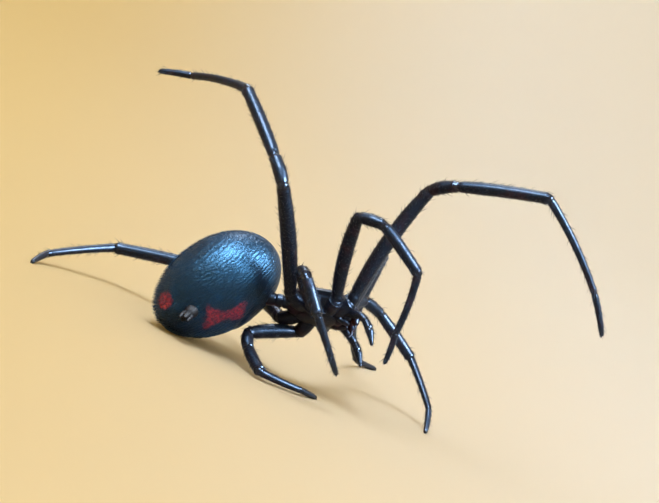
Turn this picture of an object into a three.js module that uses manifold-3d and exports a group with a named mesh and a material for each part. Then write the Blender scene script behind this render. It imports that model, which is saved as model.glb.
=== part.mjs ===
// Adult female black widow spider, life size, in millimetres. +X runs to the head, +Y to the
// spider's own left and +Z up. She rests on the floor z = 0 on her belly and the tips of her
// four left legs, with the four right legs held high. The origin is on the floor, under the
// middle of the whole outline.
import * as THREE from 'three';
import { mergeVertices } from 'three/addons/utils/BufferGeometryUtils.js';
import Module from 'manifold-3d';

const wasm = await Module();
wasm.setup();

// Gap between touching pieces, with finer ones among the small pieces of the head and around
// an eye in its socket
const GAP = 0.3;
const HEAD_GAP = 0.2;
const EYE_GAP = 0.04;

// Front part of the body: the carapace above, the breastplate below
const CARAPACE_LENGTH = 3.9;
const CARAPACE_WIDTH = 3.1;
const CARAPACE_HEIGHT = 0.95;
const BREASTPLATE_DEPTH = 0.95;
const HEAD_WIDTH = 1.5;
const PROSOMA = { at: [0.65, -0.63, 4.68], yaw: 0, pitch: 11, roll: 39 };

// Rear part of the body: the globe of the abdomen, with the spinnerets under its rear
const ABDOMEN_LENGTH = 7.7;
const ABDOMEN_WIDTH = 5.4;
const ABDOMEN_HEIGHT = 5.2;
const ABDOMEN = { at: [-4.93, 0.28, 3.4], yaw: -4, pitch: 55, roll: 56 };
const SPINNERET_BACK = 33;
const SPINNERET_SIDE = -24;
const SPINNERET_LENGTH = 0.55;
const SPINNERET_RADIUS = 0.17;

// The narrow waist between them
const WAIST_RADIUS = 0.38;

// Head pieces
const CHELICERA_LENGTH = 1.15;
const CHELICERA_RADIUS = 0.28;
const CHELICERA_SIDE = 0.39;
const FANG_LENGTH = 0.45;
const FANG_RADIUS = 0.09;
const EYE_RADIUS = 0.1;
const EYES = [
  { name: 'eye_front_middle', ahead: 1.78, side: 0.17, up: 0.50 },
  { name: 'eye_front_side', ahead: 1.62, side: 0.52, up: 0.44 },
  { name: 'eye_rear_middle', ahead: 1.42, side: 0.20, up: 0.88 },
  { name: 'eye_rear_side', ahead: 1.38, side: 0.60, up: 0.66 },
];
const PALP_START = [1.5, 0.8, -0.62];
const PALP_LENGTHS = [0.75, 0.45, 0.55, 0.9];
const PALP_RADII = [0.2, 0.23, 0.22, 0.24, 0.12];
const PALP_POSE = [[38, -12], [15, -45], [0, -62], [-8, -75]];

// Legs, from the thigh (femur) to the foot (tarsus): each length, and the share of the
// full thickness that the leg pair has
const LEG_PAIRS = [
  { lengths: [7.6, 1.7, 5.2, 5.9, 2.4], thickness: 1.0 },
  { lengths: [5.3, 1.6, 3.2, 3.7, 1.7], thickness: 0.94 },
  { lengths: [3.0, 1.2, 2.2, 2.6, 1.35], thickness: 0.96 },
  { lengths: [7.0, 1.8, 4.8, 4.8, 1.9], thickness: 1.04 },
];
// Where each pair's thigh and its short basal joint (coxa) begin, from the carapace's middle
const HIPS = [
  { coxa: [0.8, 0.45, -0.5], thigh: [1.5, 1.2, -0.1] },
  { coxa: [0.35, 0.55, -0.55], thigh: [0.6, 1.55, -0.35] },
  { coxa: [-0.3, 0.55, -0.6], thigh: [-0.75, 1.6, -1.0] },
  { coxa: [-0.85, 0.45, -0.45], thigh: [-1.95, 1.35, -0.5] },
];
const COXA_RADIUS = 0.42;
// Radius along each length at full thickness, in even steps from its near end to its far end
const SEGMENT_RADII = [
  [0.33, 0.39, 0.42, 0.40, 0.36],
  [0.34, 0.37, 0.33],
  [0.30, 0.33, 0.32, 0.33],
  [0.26, 0.24, 0.23, 0.25],
  [0.22, 0.20, 0.14],
];
// How far each length bows outward, as a share of its own length
const SEGMENT_BOW = [0.035, 0.04, 0.015, 0.03, 0.02];
// Heading (from +X toward +Y) and rise of each length, in degrees. A standing leg's last
// rise is left out: its foot reaches down to the floor.
const LEG_POSES = {
  right_1: [[-19, 79], [-39, 31], [-25, 17], [3, -40], [9, -54]],
  right_2: [[-122, 67], [-33, 8], [-13, -31], [65, -75], [31, -85]],
  right_3: [[-132, 36], [-81, -3], [-31, -47], [20, -46], [42, -39]],
  right_4: [[-142, 54], [132, 41], [127, 32], [123, -10], [154, -16]],
  left_1: [[75, 26], [74, 6], [82, -54], [65, -31], [47]],
  left_2: [[62, 19], [30, -16], [1, -32], [-59, -32], [-87]],
  left_3: [[-165, -20], [-77, -34], [-68, -17], [8, -3], [39]],
  left_4: [[117, 7], [169, -26], [157, -13], [-145, -18], [-113]],
};
const FOOT_CENTRE_HEIGHT = 0.11;

const LEG_SIDES = 10;
const CARAPACE_SIDES = 24;
const ABDOMEN_SIDES = 30;

const BLACK_CUTICLE = { color: 0x17131a, roughness: 0.3, metalness: 0 };
const ABDOMEN_SKIN = { color: 0x10131c, roughness: 0.38, metalness: 0 };
const SPINNERET_SKIN = { color: 0x2a1a18, roughness: 0.5, metalness: 0 };
const EYE_LENS = { color: 0x08080a, roughness: 0.05, metalness: 0 };
const FANG_CUTICLE = { color: 0x1c0f0e, roughness: 0.25, metalness: 0 };

const radians = THREE.MathUtils.degToRad;

// The unit direction of a heading and a rise in degrees
function direction(heading, rise) {
  const flat = Math.cos(radians(rise));
  return new THREE.Vector3(
    flat * Math.cos(radians(heading)),
    flat * Math.sin(radians(heading)),
    Math.sin(radians(rise)),
  );
}

// The placement of a body part: pitch lifts its front, roll lifts its right side
function placement({ at, yaw, pitch, roll }) {
  return new THREE.Matrix4()
    .makeTranslation(...at)
    .multiply(new THREE.Matrix4().makeRotationZ(radians(yaw)))
    .multiply(new THREE.Matrix4().makeRotationY(radians(-pitch)))
    .multiply(new THREE.Matrix4().makeRotationX(radians(-roll)));
}

// A closed three.js geometry as a solid that can be joined and cut
function solidOf(geometry) {
  geometry.deleteAttribute('normal');
  geometry.deleteAttribute('uv');
  const merged = mergeVertices(geometry, 1e-5);
  return new wasm.Manifold(new wasm.Mesh({
    numProp: 3,
    vertProperties: new Float32Array(merged.attributes.position.array),
    triVerts: new Uint32Array(merged.index.array),
  }));
}

// The largest closed surface of a solid, as a three.js geometry
function geometryOf(solid) {
  const largest = solid.decompose().reduce((a, b) => (b.volume() > a.volume() ? b : a));
  const mesh = largest.getMesh();
  const geometry = new THREE.BufferGeometry();
  geometry.setAttribute('position', new THREE.BufferAttribute(mesh.vertProperties, 3));
  geometry.setIndex(new THREE.BufferAttribute(mesh.triVerts, 1));
  geometry.computeVertexNormals();
  return geometry;
}

function named(name, solid, look) {
  const mesh = new THREE.Mesh(geometryOf(solid), new THREE.MeshStandardMaterial(look));
  mesh.name = name;
  return mesh;
}

// A ball whose points are moved by a rule. Its poles lie on X, so that rings run across it.
function shapedBall(sides, rings, rule) {
  const ball = new THREE.SphereGeometry(1, sides, rings);
  ball.rotateZ(-Math.PI / 2);
  const points = ball.attributes.position;
  const point = new THREE.Vector3();
  for (let i = 0; i < points.count; i++) {
    point.fromBufferAttribute(points, i);
    rule(point);
    points.setXYZ(i, point.x, point.y, point.z);
  }
  return solidOf(ball);
}

// The value of a list of evenly spaced values at a share from 0 to 1
function along(values, share) {
  const place = THREE.MathUtils.clamp(share, 0, 1) * (values.length - 1);
  const step = Math.min(Math.floor(place), values.length - 2);
  return THREE.MathUtils.lerp(values[step], values[step + 1], place - step);
}

// A round, slightly bowed length between two points, with half-round ends
function limb(from, to, radii, bow, outward, sides = LEG_SIDES) {
  const length = from.distanceTo(to);
  const steps = Math.max(2, radii.length);
  const near = radii[0];
  const far = radii[radii.length - 1];
  const profile = [new THREE.Vector2(0, -near)];
  for (const turn of [-55, -25]) {
    profile.push(new THREE.Vector2(near * Math.cos(radians(turn)), near * Math.sin(radians(turn))));
  }
  for (let i = 0; i <= steps; i++) {
    profile.push(new THREE.Vector2(along(radii, i / steps), length * i / steps));
  }
  for (const turn of [25, 55]) {
    profile.push(new THREE.Vector2(far * Math.cos(radians(turn)), length + far * Math.sin(radians(turn))));
  }
  profile.push(new THREE.Vector2(0, length + far));
  const geometry = new THREE.LatheGeometry(profile, sides);
  const points = geometry.attributes.position;
  for (let i = 0; i < points.count; i++) {
    const share = THREE.MathUtils.clamp(points.getY(i) / length, 0, 1);
    points.setX(i, points.getX(i) + bow * length * 4 * share * (1 - share));
  }
  const ahead = to.clone().sub(from).normalize();
  const out = outward.clone().addScaledVector(ahead, -outward.dot(ahead)).normalize();
  const basis = new THREE.Matrix4().makeBasis(out, ahead, out.clone().cross(ahead));
  geometry.applyMatrix4(basis.setPosition(from));
  return solidOf(geometry);
}

// A block that starts at a plane through a point and reaches along the plane's normal
function blockBeyond(point, normal, start, reach, width) {
  const block = new THREE.BoxGeometry(width, width, reach);
  block.translate(0, 0, start + reach / 2);
  const turn = new THREE.Quaternion().setFromUnitVectors(new THREE.Vector3(0, 0, 1), normal);
  block.applyQuaternion(turn);
  block.translate(point.x, point.y, point.z);
  return solidOf(block);
}

// Both sides of a joint, trimmed face to face with the gap between them
const JOINT_REACH = 1.1;
const JOINT_WIDTH = 1.7;
function partAt(joint, near, far, nearSolid, farSolid, gap = GAP) {
  const normal = near.clone().add(far).normalize();
  return [
    nearSolid && nearSolid.subtract(blockBeyond(joint, normal, -gap / 2, JOINT_REACH, JOINT_WIDTH)),
    farSolid && farSolid.subtract(
      blockBeyond(joint, normal.clone().negate(), -gap / 2, JOINT_REACH, JOINT_WIDTH)),
  ];
}

const FLOOR_SIZE = 60;
function floorBlock() {
  const block = new THREE.BoxGeometry(FLOOR_SIZE, FLOOR_SIZE, FLOOR_SIZE);
  block.translate(0, 0, -FLOOR_SIZE / 2);
  return block;
}

// Carapace: a low shield, pear-shaped from above, with the head raised at its front and a
// dent behind it, on a flat, heart-shaped breastplate
function carapaceHalfWidth(share) {
  const rear = Math.sqrt(Math.max(0, 1 - share * share));
  const neck = THREE.MathUtils.smoothstep(share, 0.05, 0.75);
  return rear * THREE.MathUtils.lerp(CARAPACE_WIDTH / 2, HEAD_WIDTH * 0.75, neck);
}

function carapaceSolid(margin = 0) {
  return shapedBall(CARAPACE_SIDES, 16, (point) => {
    const share = point.x;
    const ring = Math.sqrt(Math.max(1e-9, 1 - share * share));
    const blunt = Math.sign(share) * Math.pow(Math.abs(share), 0.85);
    const across = point.y / ring;
    const up = point.z / ring;
    const head = THREE.MathUtils.smoothstep(share, -0.1, 0.55);
    const dent = 0.16 * Math.exp(-(((share + 0.22) / 0.2) ** 2) - (across / 0.35) ** 2);
    const round = Math.pow(ring, 0.75);
    const top = CARAPACE_HEIGHT * (0.72 + 0.28 * head) - dent;
    const height = up > 0 ? top * round : BREASTPLATE_DEPTH * round;
    const side = carapaceHalfWidth(share) * (up < 0 ? 1 + 0.28 * up : 1);
    point.set(
      (CARAPACE_LENGTH / 2 + margin) * blunt,
      (side + margin) * across,
      (height + margin) * up,
    );
  });
}

// Abdomen: an egg with its broad end in front and above, flattened a little underneath
function abdomenRule(point) {
  const share = point.x;
  const broad = 1 + 0.05 * share;
  const under = point.z < 0 ? 0.97 : 1;
  point.set(
    ABDOMEN_LENGTH / 2 * share,
    ABDOMEN_WIDTH / 2 * broad * point.y,
    ABDOMEN_HEIGHT / 2 * broad * under * point.z,
  );
}

// A point of the abdomen's surface, so many degrees back and to the left of its lowest
function abdomenUnder(back, left) {
  const flat = Math.cos(radians(left));
  const point = new THREE.Vector3(
    -flat * Math.sin(radians(back)),
    Math.sin(radians(left)),
    -flat * Math.cos(radians(back)),
  );
  abdomenRule(point);
  return point;
}

function abdomenSolid(frame) {
  const floor = floorBlock().applyMatrix4(frame.clone().invert());
  return shapedBall(ABDOMEN_SIDES, 22, abdomenRule).subtract(solidOf(floor));
}

// Spinnerets: the two large pairs, four blunt cones in a close rosette on a low mound
function spinneretSolid() {
  const root = abdomenUnder(SPINNERET_BACK, SPINNERET_SIDE);
  const out = root.clone().normalize();
  const side = new THREE.Vector3(0, 1, 0);
  const back = side.clone().cross(out).normalize();
  const start = root.clone().addScaledVector(out, GAP + SPINNERET_RADIUS);
  let cluster = limb(
    start.clone().addScaledVector(out, -0.05), start, [0.3, 0.28], 0, side);
  for (let i = 0; i < 4; i++) {
    const turn = radians(45 + 90 * i);
    const lean = back.clone().multiplyScalar(Math.cos(turn)).addScaledVector(side, Math.sin(turn));
    const foot = start.clone().addScaledVector(lean, 0.17);
    const tip = foot.clone().addScaledVector(out, SPINNERET_LENGTH * 0.6).addScaledVector(lean, 0.03);
    cluster = cluster.add(limb(foot, tip, [SPINNERET_RADIUS, SPINNERET_RADIUS * 0.6], 0, side, 8));
  }
  const mound = blockBeyond(root, out.clone().negate(), -GAP, 2, 2);
  return cluster.subtract(mound);
}

function mirrored(values, side) {
  return new THREE.Vector3(values[0], values[1] * side, values[2]);
}

// Chelicera: an upright, slightly spread base with a short curved fang at its lower end
function cheliceraSolid(side) {
  const top = new THREE.Vector3(CARAPACE_LENGTH / 2 + 0.02, side * CHELICERA_SIDE, -0.25);
  const down = new THREE.Vector3(0.16, side * 0.03, -1).normalize();
  const foot = top.clone().addScaledVector(down, CHELICERA_LENGTH - 2 * CHELICERA_RADIUS);
  const ahead = new THREE.Vector3(1, 0, 0);
  const radii = [1, 1.02, 0.78].map((share) => share * CHELICERA_RADIUS);
  const base = limb(top, foot, radii, 0.04, ahead);
  const fangRoot = foot.clone().addScaledVector(down, CHELICERA_RADIUS * 0.4);
  const fangTip = fangRoot.clone().add(new THREE.Vector3(-0.14, -side * 0.08, -FANG_LENGTH));
  return base
    .add(limb(fangRoot, fangTip, [FANG_RADIUS * 1.2, FANG_RADIUS * 0.5], 0.1, ahead, 8))
    .subtract(carapaceSolid(HEAD_GAP));
}

// Feeler (palp): four short lengths that arch forward and down beside the chelicera
function palpSolid(side) {
  const joints = [mirrored(PALP_START, side)];
  const outward = new THREE.Vector3(1, 0, 1);
  let palp = null;
  PALP_POSE.forEach(([heading, rise], i) => {
    const ahead = direction(heading * side, rise);
    joints.push(joints[i].clone().addScaledVector(ahead, PALP_LENGTHS[i]));
    const length = limb(joints[i], joints[i + 1], [PALP_RADII[i], PALP_RADII[i + 1]], 0.02, outward, 8);
    palp = palp ? palp.add(length) : length;
  });
  return palp.subtract(carapaceSolid(HEAD_GAP)).subtract(coxaSolid(HIPS[0], side, HEAD_GAP));
}

// The eyes stand in two rows across the head, each in a shallow socket
function eyeSolid({ ahead, side, up }, sign, radius) {
  const ball = new THREE.SphereGeometry(radius, 10, 6);
  ball.translate(ahead, side * sign, up);
  return solidOf(ball);
}

function coxaSolid(hip, side, margin = 0) {
  const outward = new THREE.Vector3(0, 0, -1);
  const radii = [0.95, 1, 0.85].map((share) => share * COXA_RADIUS + margin);
  return limb(mirrored(hip.coxa, side), mirrored(hip.thigh, side), radii, 0.05, outward);
}

// The joints of a leg, from the hip to the tip of the foot, and the way of each length
function legJoints(hip, lengths, pose) {
  const joints = [hip];
  const ways = pose.map(([heading, rise], i) => {
    const start = joints[i];
    const drop = (FOOT_CENTRE_HEIGHT - start.z) / lengths[i];
    const way = direction(heading, rise ?? THREE.MathUtils.radToDeg(Math.asin(drop)));
    joints.push(start.clone().addScaledVector(way, lengths[i]));
    return way;
  });
  return { joints, ways };
}

const SEGMENT_NAMES = ['femur', 'patella', 'tibia', 'metatarsus', 'tarsus'];
const LEG_NODES = [['femur'], ['patella', 'tibia'], ['metatarsus', 'tarsus']];

// One leg in the front body's own axes, as three solids, and the short basal joint it grows from
function legSolids(pairIndex, side, pose, frame) {
  const pair = LEG_PAIRS[pairIndex];
  const inverse = frame.clone().invert();
  const hip = mirrored(HIPS[pairIndex].thigh, side);
  const standing = legJoints(hip.clone().applyMatrix4(frame), pair.lengths, pose);
  const joints = standing.joints.map((joint) => joint.clone().applyMatrix4(inverse));
  const ways = standing.ways.map((way) => way.clone().transformDirection(inverse));
  const middle = joints.reduce((sum, joint) => sum.clone().add(joint)).divideScalar(joints.length);
  const segments = SEGMENT_NAMES.map((segment, i) => {
    const outward = joints[i].clone().add(joints[i + 1]).multiplyScalar(0.5).sub(middle);
    const radii = SEGMENT_RADII[i].map((radius) => radius * pair.thickness);
    return limb(joints[i], joints[i + 1], radii, SEGMENT_BOW[i], outward);
  });
  const floor = solidOf(floorBlock().applyMatrix4(inverse));
  const nodes = LEG_NODES.map((members) => members
    .map((segment) => segments[SEGMENT_NAMES.indexOf(segment)])
    .reduce((sum, segment) => sum.add(segment))
    .subtract(floor));
  const basalWay = hip.clone().sub(mirrored(HIPS[pairIndex].coxa, side)).normalize();
  let coxa = coxaSolid(HIPS[pairIndex], side);
  [coxa, nodes[0]] = partAt(hip, basalWay, ways[0], coxa, nodes[0]);
  [nodes[0], nodes[1]] = partAt(joints[1], ways[0], ways[1], nodes[0], nodes[1]);
  [nodes[1], nodes[2]] = partAt(joints[3], ways[2], ways[3], nodes[1], nodes[2]);
  nodes[0] = nodes[0].subtract(carapaceSolid(HEAD_GAP));
  for (const neighbour of [pairIndex - 1, pairIndex + 1]) {
    if (HIPS[neighbour]) nodes[0] = nodes[0].subtract(coxaSolid(HIPS[neighbour], side, HEAD_GAP));
  }
  return { coxa, nodes };
}

// The waist: a short round stalk from the rear of the carapace toward the middle of the
// abdomen, which stops at the gap from either of them
function waistSolid(prosomaFrame, abdomenFrame) {
  const start = new THREE.Vector3(-CARAPACE_LENGTH / 2 + 0.1, 0, -0.2);
  const toAbdomen = abdomenFrame.clone().invert().multiply(prosomaFrame);
  const seen = start.clone().applyMatrix4(toAbdomen);
  const reach = Math.hypot(
    seen.x / (ABDOMEN_LENGTH / 2), seen.y / (ABDOMEN_WIDTH / 2), seen.z / (ABDOMEN_HEIGHT / 2));
  const end = seen.clone().divideScalar(reach).applyMatrix4(toAbdomen.clone().invert());
  const way = end.clone().sub(start).normalize();
  const radii = [1, 0.85, 1.1].map((share) => share * WAIST_RADIUS);
  const stalk = limb(start, end, radii, 0, way.clone().cross(new THREE.Vector3(0, 0, 1)), 12);
  return stalk
    .subtract(blockBeyond(start, way.clone().negate(), -GAP, JOINT_REACH, JOINT_WIDTH))
    .subtract(blockBeyond(end, way, -GAP, JOINT_REACH, JOINT_WIDTH))
    .subtract(carapaceSolid(HEAD_GAP));
}

const spider = new THREE.Group();
const prosoma = new THREE.Group();
const abdomen = new THREE.Group();
const prosomaFrame = placement(PROSOMA);
const abdomenFrame = placement(ABDOMEN);
prosoma.applyMatrix4(prosomaFrame);
abdomen.applyMatrix4(abdomenFrame);
spider.add(prosoma, abdomen);

let carapace = carapaceSolid();
for (const [side, sign] of [['left', 1], ['right', -1]]) {
  LEG_PAIRS.forEach((pair, i) => {
    const { coxa, nodes } = legSolids(i, sign, LEG_POSES[`${side}_${i + 1}`], prosomaFrame);
    carapace = carapace.add(coxa);
    nodes.forEach((solid, k) => {
      prosoma.add(named(`leg_${side}_${i + 1}_${LEG_NODES[k].at(-1)}`, solid, BLACK_CUTICLE));
    });
  });
}
for (const eye of EYES) {
  for (const [side, sign] of [['left', 1], ['right', -1]]) {
    carapace = carapace.subtract(eyeSolid(eye, sign, EYE_RADIUS + EYE_GAP));
    prosoma.add(named(`${eye.name}_${side}`, eyeSolid(eye, sign, EYE_RADIUS), EYE_LENS));
  }
}
for (const [side, sign] of [['left', 1], ['right', -1]]) {
  const chelicera = cheliceraSolid(sign);
  const palp = palpSolid(sign);
  prosoma.add(named(`chelicera_${side}`, chelicera, FANG_CUTICLE));
  prosoma.add(named(`palp_${side}`, palp, BLACK_CUTICLE));
}
prosoma.add(named('prosoma', carapace, BLACK_CUTICLE));
prosoma.add(named('waist', waistSolid(prosomaFrame, abdomenFrame), BLACK_CUTICLE));
abdomen.add(named('abdomen', abdomenSolid(abdomenFrame), ABDOMEN_SKIN));
abdomen.add(named('spinnerets', spinneretSolid(), SPINNERET_SKIN));

spider.updateMatrixWorld(true);
const box = new THREE.Box3().setFromObject(spider, true);
const middle = box.getCenter(new THREE.Vector3());
spider.position.set(-middle.x, -middle.y, -box.min.z);

export default spider;
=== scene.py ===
# %% [markdown]
# # A black widow spider, one piece at a time
# A spider wears its skeleton on the outside. Each part of her is a thin, hard, glossy shell,
# and the shells meet at narrow soft joints. So the model is built as she is: a shield for
# the front body, a globe for the abdomen, and legs of six tubes each, with fine bristles
# over all of it. The solid model says where everything goes, and this file dresses it.

# %% Load the solid model
import math
from functools import partial

import bmesh
import bpy
import numpy as np
from mathutils import Matrix, Vector


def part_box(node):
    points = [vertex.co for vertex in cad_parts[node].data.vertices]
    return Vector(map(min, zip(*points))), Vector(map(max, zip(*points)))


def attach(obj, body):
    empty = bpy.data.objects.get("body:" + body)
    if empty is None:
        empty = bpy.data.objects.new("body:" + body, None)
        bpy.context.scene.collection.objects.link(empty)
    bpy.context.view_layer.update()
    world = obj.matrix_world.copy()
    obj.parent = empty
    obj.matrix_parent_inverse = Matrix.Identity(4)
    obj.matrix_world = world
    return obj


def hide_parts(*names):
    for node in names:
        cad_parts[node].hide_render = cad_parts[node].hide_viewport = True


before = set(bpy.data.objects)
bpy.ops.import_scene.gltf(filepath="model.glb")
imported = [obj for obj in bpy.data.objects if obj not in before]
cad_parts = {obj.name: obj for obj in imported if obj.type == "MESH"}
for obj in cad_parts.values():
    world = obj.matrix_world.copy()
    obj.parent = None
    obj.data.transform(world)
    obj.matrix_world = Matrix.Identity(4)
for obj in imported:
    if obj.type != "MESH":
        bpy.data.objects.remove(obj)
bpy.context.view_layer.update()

MM = 0.001
scene = bpy.context.scene
scene.view_settings.view_transform = "Standard"

# %% [markdown]
# ## Where the two body parts lie
# The front body and the abdomen each have a place and three turns: yaw about Z, then pitch,
# which lifts the front, then roll, which lifts the right side. The whole figure was then
# shifted so that its origin is under its middle. One eye tells how far.

# %% Body placements
PROSOMA_PLACE = {"at": (0.65, -0.63, 4.68), "yaw": 0, "pitch": 11, "roll": 39}
ABDOMEN_PLACE = {"at": (-4.93, 0.28, 3.4), "yaw": -4, "pitch": 55, "roll": 56}
EYES = {
    "eye_front_middle": (1.78, 0.17, 0.50),
    "eye_front_side": (1.62, 0.52, 0.44),
    "eye_rear_middle": (1.42, 0.20, 0.88),
    "eye_rear_side": (1.38, 0.60, 0.66),
}


def placed(at, yaw, pitch, roll):
    turn = (Matrix.Rotation(math.radians(yaw), 4, "Z")
            @ Matrix.Rotation(math.radians(-pitch), 4, "Y")
            @ Matrix.Rotation(math.radians(-roll), 4, "X"))
    return Matrix.Translation(Vector(at)) @ turn


def middle_of(node):
    """The middle of a solid, in millimetres"""
    low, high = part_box(node)
    return (low + high) / 2 / MM


seen_eye = middle_of("eye_rear_middle_left")
SHIFT = seen_eye - placed(**PROSOMA_PLACE) @ Vector(EYES["eye_rear_middle"])
FRONT = Matrix.Translation(SHIFT) @ placed(**PROSOMA_PLACE)
GLOBE = Matrix.Translation(SHIFT) @ placed(**ABDOMEN_PLACE)
print("shift in mm", [round(v, 3) for v in SHIFT])

# %% [markdown]
# ## The camera
# She was seen almost level, a little from above, from her right side. She hung tipped by
# about 24 degrees, so here she is set level on the floor and the camera is turned by that
# angle instead.

# %% Camera
VIEW_AZIMUTH = -10
VIEW_ELEVATION = 6
VIEW_ROLL = 24
VIEW_DISTANCE = 180
VIEW_TARGET = Vector((0, 0, 7.62)) + SHIFT
PIXELS_PER_MM = 18
IMAGE_WIDTH = 659
SENSOR_WIDTH = 36
CLIP_NEAR, CLIP_FAR = 0.005, 10

azimuth, elevation = math.radians(VIEW_AZIMUTH), math.radians(VIEW_ELEVATION)
BACK = Vector((math.sin(azimuth) * math.cos(elevation),
               -math.cos(azimuth) * math.cos(elevation), math.sin(elevation)))
LEVEL = Vector((math.cos(azimuth), math.sin(azimuth), 0))
RIGHT = Matrix.Rotation(math.radians(VIEW_ROLL), 3, BACK) @ LEVEL
UP = BACK.cross(RIGHT)

camera = bpy.data.objects.new("camera", bpy.data.cameras.new("camera"))
scene.collection.objects.link(camera)
turn = Matrix((RIGHT, UP, BACK)).transposed().to_4x4()
camera.matrix_world = Matrix.Translation((VIEW_TARGET + BACK * VIEW_DISTANCE) * MM) @ turn
camera.data.sensor_width = SENSOR_WIDTH
camera.data.lens = SENSOR_WIDTH * VIEW_DISTANCE * PIXELS_PER_MM / IMAGE_WIDTH
camera.data.clip_start = CLIP_NEAR
camera.data.clip_end = CLIP_FAR
scene.camera = camera
print("lens", round(camera.data.lens, 1), "mm, camera height in mm",
      round(camera.location.z / MM, 1))

# %% [markdown]
# ## Shells
# A shell here is a list of points and a list of faces, in millimetres. Nearly every piece of
# a spider is one of two things: a round length with a ball at each end, or a ball whose
# points are moved by a rule. Two small functions make them, and a third joins shells into
# one closed skin, so that no wall is left inside another.


# %% The two shell makers
def unit(vector):
    vector = np.asarray(vector, float)
    return vector / np.linalg.norm(vector)


def rings_to_faces(rows, sides):
    """Faces of a closed shape of rings, with its first and last point as poles"""
    pairs = [(a, (a + 1) % sides) for a in range(sides)]
    faces = [(0, 1 + b, 1 + a) for a, b in pairs]
    for row in range(rows - 1):
        here, there = 1 + row * sides, 1 + (row + 1) * sides
        faces += [(here + a, here + b, there + b, there + a) for a, b in pairs]
    last = 1 + rows * sides
    top = last - sides
    faces += [(last, top + a, top + b) for a, b in pairs]
    return faces


CAP_TURNS = np.radians([-68, -45, -22])


def tube(start, end, profile, outward=(0, 0, 1), bow=0.0, scale=1.0, sides=24, steps=16,
         cap=1.0):
    """A round length from start to end. profile lists (share of the length, radius), and
    scale multiplies its radii."""
    start, end = np.asarray(start, float), np.asarray(end, float)
    length = np.linalg.norm(end - start)
    ahead = (end - start) / length
    out = unit(np.asarray(outward, float) - ahead * np.dot(outward, ahead))
    side = np.cross(ahead, out)
    keys, radii = (np.array(column, float) for column in zip(*profile))
    radii = radii * scale
    shares = np.union1d(np.linspace(0, 1, steps), keys)
    near, far = radii[0], radii[-1]
    rows = [(near * cap * math.sin(t), near * math.cos(t)) for t in CAP_TURNS]
    rows += [(length * s, float(np.interp(s, keys, radii))) for s in shares]
    rows += [(length - far * cap * math.sin(t), far * math.cos(t)) for t in CAP_TURNS[::-1]]
    turns = np.linspace(0, 2 * math.pi, sides, endpoint=False)
    around = np.outer(np.cos(turns), out) + np.outer(np.sin(turns), side)
    points = [start - ahead * near * cap]
    for reach, radius in rows:
        share = min(max(reach / length, 0), 1)
        centre = start + ahead * reach + out * (bow * length * 4 * share * (1 - share))
        points.extend(centre + around * radius)
    points.append(end + ahead * far * cap)
    return np.array(points), rings_to_faces(len(rows), sides)


def ball(rule, sides=48, rings=32):
    """A ball with its poles on X, whose points are moved by a rule on the arrays x, y, z"""
    turns = np.linspace(0, 2 * math.pi, sides, endpoint=False)
    heights = np.linspace(math.pi, 0, rings + 2)[1:-1]
    x = np.concatenate([[-1], np.repeat(np.cos(heights), sides), [1]])
    y = np.concatenate([[0], np.outer(np.sin(heights), np.cos(turns)).ravel(), [0]])
    z = np.concatenate([[0], np.outer(np.sin(heights), np.sin(turns)).ravel(), [0]])
    return np.stack(rule(x, y, z), axis=1), rings_to_faces(rings, sides)


def sphere(radius, sides, rings):
    """A ball of one radius"""
    return ball(lambda x, y, z: (radius * x, radius * y, radius * z), sides, rings)


def moved(shell, matrix):
    """A shell turned and shifted by a matrix in millimetres"""
    points, faces = shell
    m = np.array(matrix)
    return points @ m[:3, :3].T + m[:3, 3], faces


print("shell makers ready")


# %% Meshes, and the joining of shells
def add_object(name, mesh):
    piece = bpy.data.objects.new(name, mesh)
    scene.collection.objects.link(piece)
    return piece


def mesh_of(name, shell):
    points, faces = shell
    mesh = bpy.data.meshes.new(name)
    mesh.from_pydata((points * MM).tolist(), [], faces)
    mesh.update()
    return mesh


CREASE_ANGLE = math.radians(50)


def clean(mesh, merge=1e-7):
    """Merges doubles, closes what that opened, turns the faces outward, and shades smoothly"""
    work = bmesh.new()
    work.from_mesh(mesh)
    bmesh.ops.remove_doubles(work, verts=work.verts, dist=merge)
    bmesh.ops.dissolve_degenerate(work, edges=work.edges, dist=merge / 2)
    bmesh.ops.holes_fill(work, edges=[edge for edge in work.edges if edge.is_boundary])
    bmesh.ops.recalc_face_normals(work, faces=work.faces)
    work.to_mesh(mesh)
    work.free()
    mesh.shade_smooth()
    mesh.set_sharp_from_angle(angle=CREASE_ANGLE)
    return mesh


def single(name, shell):
    """The skin of one closed shell"""
    return add_object(name, clean(mesh_of(name, shell)))


def fused(name, shells):
    """One closed skin from overlapping closed shells"""
    parts = [add_object(f"{name}_shell_{i}", mesh_of(name, s)) for i, s in enumerate(shells)]
    others = bpy.data.collections.new(name + "_shells")
    scene.collection.children.link(others)
    for part in parts[1:]:
        others.objects.link(part)
    union = parts[0].modifiers.new("union", "BOOLEAN")
    union.operation = "UNION"
    union.operand_type = "COLLECTION"
    union.collection = others
    union.solver = "MANIFOLD"
    ready = parts[0].evaluated_get(bpy.context.evaluated_depsgraph_get())
    mesh = bpy.data.meshes.new_from_object(ready)
    mesh.name = name
    for part in parts:
        bpy.data.objects.remove(part)
    bpy.data.collections.remove(others)
    return add_object(name, clean(mesh))


def points_of(mesh):
    """A mesh's points as an array in millimetres"""
    flat = np.empty(len(mesh.vertices) * 3)
    mesh.vertices.foreach_get("co", flat)
    return flat.reshape(-1, 3) / MM


def keep_above_floor(piece):
    """The floor flattens whatever would reach below it"""
    points = points_of(piece.data)
    points[:, 2] = np.maximum(points[:, 2], 0)
    piece.data.vertices.foreach_set("co", (points * MM).ravel())
    piece.data.update()


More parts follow.
